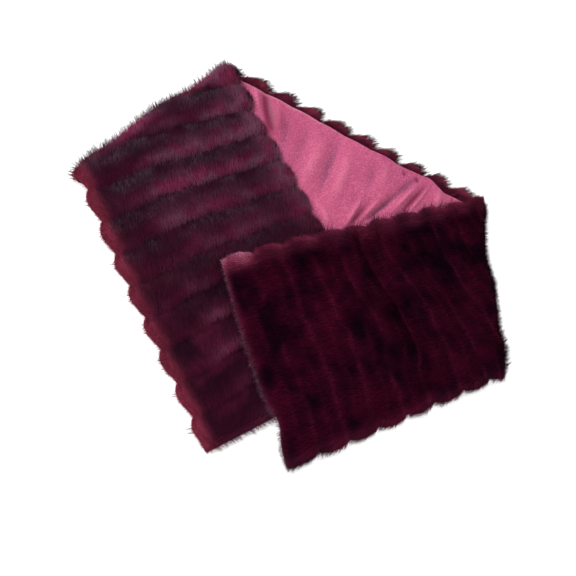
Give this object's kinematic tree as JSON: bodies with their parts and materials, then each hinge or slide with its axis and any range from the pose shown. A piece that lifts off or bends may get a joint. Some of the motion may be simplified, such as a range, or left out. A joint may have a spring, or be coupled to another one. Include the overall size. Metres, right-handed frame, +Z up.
{
  "type": "faux fur shawl",
  "caption": "Long ribbed faux fur stole with a satin lining, laid flat in two slanting folds so that one stretch shows its lining.",
  "frame": {"origin": "middle of the footprint of the folded stole, on the surface it lies on", "axes": "+Z up from the surface, +X along the longer side of the footprint, towards the right fold, +Y towards the top of the left fold"},
  "size_m": [0.7194, 0.678, 0.0438],
  "materials": {
    "fur_left": "burgundy faux fur with dark grey tips, combed in ribs",
    "fur_middle": "burgundy faux fur, pressed under the folds",
    "fur_right": "deep burgundy faux fur, combed in ribs",
    "lining": "rose pink satin with a soft grain"
  },
  "bodies": {
    "root": {"fur_left": "fur_left", "fur_middle": "fur_middle", "fur_right": "fur_right", "lining_middle": "lining"}
  },
  "joints": []
}
